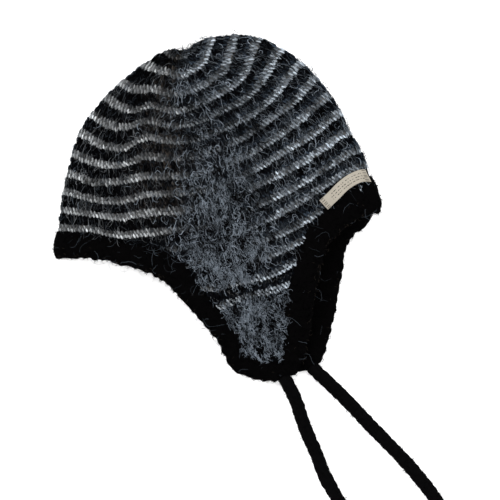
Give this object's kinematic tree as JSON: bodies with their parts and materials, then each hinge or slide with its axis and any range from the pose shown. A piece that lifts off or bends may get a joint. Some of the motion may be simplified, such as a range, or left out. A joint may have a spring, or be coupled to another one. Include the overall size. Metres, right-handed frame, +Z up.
{
  "type": "knitted wool chullo hat lying on its side",
  "caption": "Soft knitted hat with ear flaps, a thick edging and cord ties, which covers the head and ears; lying on its side.",
  "frame": {"origin": "on the plane the hat lies on, under the middle of the hat without its ties", "axes": "+Z up from the plane, +Y towards the tip of the crown, +X towards the front of the hat"},
  "size_m": [0.336, 0.4357, 0.0539],
  "materials": {
    "striped_wool": "brushed wool knit, striped in black, grey and off-white",
    "flap_wool": "brushed wool knit, mottled grey",
    "edging_wool": "thick felted black wool",
    "tie_wool": "felted black wool cord",
    "woven_tape": "cream woven tape"
  },
  "bodies": {
    "root": {"crown": "striped_wool", "ear_flap_top": "flap_wool", "ear_flap_under": "flap_wool", "edge_band": "edging_wool", "label": "woven_tape", "tie_top": "tie_wool", "tie_under": "tie_wool", "tie_knot_top": "tie_wool", "tie_knot_under": "tie_wool"}
  },
  "joints": []
}
